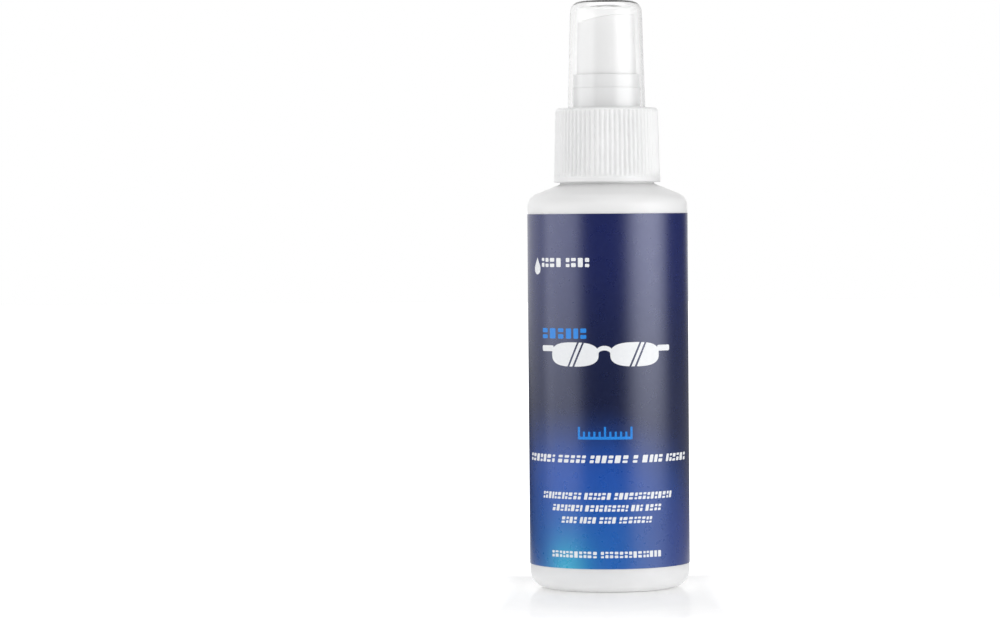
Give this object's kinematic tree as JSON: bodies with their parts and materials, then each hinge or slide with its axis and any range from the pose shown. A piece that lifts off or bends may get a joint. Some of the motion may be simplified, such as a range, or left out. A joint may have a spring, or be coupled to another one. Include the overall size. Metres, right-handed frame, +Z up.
{
  "type": "lens cleaning spray bottle",
  "caption": "Round white spray bottle with a wrap label, ribbed screw closure, clear overcap and fine-mist pump; the cap pulls off, the actuator presses and turns, and the closure unscrews.",
  "frame": {"origin": "centre of the base, on the surface that the bottle stands on", "axes": "+Z up along the bottle's axis; the label's front faces -Y and the nozzle faces +X"},
  "size_m": [0.041, 0.041, 0.1498],
  "materials": {
    "bottle_white": "satin blow-moulded polyethylene",
    "label_film": "glossy printed film, navy to bright blue",
    "closure_white": "satin moulded polypropylene",
    "overcap_clear": "clear polished polystyrene",
    "actuator_white": "satin moulded polypropylene",
    "pump_natural": "natural polypropylene",
    "piston_grey": "soft polyethylene",
    "spring_steel": "drawn stainless wire",
    "seal_rubber": "matte",
    "gasket_foam": "matte foamed liner",
    "tube_natural": "extruded polyethylene"
  },
  "bodies": {
    "bottle": {"bottle": "bottle_white", "label": "label_film"},
    "pump": {"pump_housing": "pump_natural", "stem_collar": "pump_natural", "stem_seal": "seal_rubber", "neck_gasket": "gasket_foam", "dip_tube": "tube_natural", "return_spring": "spring_steel"},
    "closure": {"closure": "closure_white"},
    "overcap": {"overcap": "overcap_clear"},
    "plunger": {"stem": "pump_natural"},
    "piston": {"piston": "piston_grey"},
    "actuator": {"actuator": "actuator_white", "nozzle_insert": "actuator_white"},
    "ball": {"inlet_ball": "spring_steel"}
  },
  "joints": [
    {"name": "pump_lift", "type": "slide", "parent": "bottle", "child": "pump", "axis": [0, 0, 1], "range_m": [0, 0.0048]},
    {"name": "closure_unscrew", "type": "hinge", "parent": "pump", "child": "closure", "pos_m": [0, 0, 0.113], "axis": [0, 0, 1], "range_deg": [0, 540]},
    {"name": "overcap_pull", "type": "slide", "parent": "closure", "child": "overcap", "axis": [0, 0, 1], "range_m": [0, 0.04]},
    {"name": "actuator_press", "type": "slide", "parent": "pump", "child": "plunger", "axis": [0, 0, -1], "range_m": [0, 0.0052], "stiffness_N_per_m": 1300, "springref_m": -0.005, "deforming": ["return_spring"]},
    {"name": "piston_float", "type": "slide", "parent": "plunger", "child": "piston", "axis": [0, 0, 1], "range_m": [0, 0.0004]},
    {"name": "actuator_swivel", "type": "hinge", "parent": "plunger", "child": "actuator", "pos_m": [0, 0, 0.137], "axis": [0, 0, 1], "continuous": true},
    {"name": "ball_lift", "type": "slide", "parent": "pump", "child": "ball", "axis": [0, 0, 1], "range_m": [0, 0.0011]}
  ],
  "couplings": [
    {"joint": "pump_lift", "follows": "closure_unscrew", "m_per_rad": 0.00050532}
  ]
}
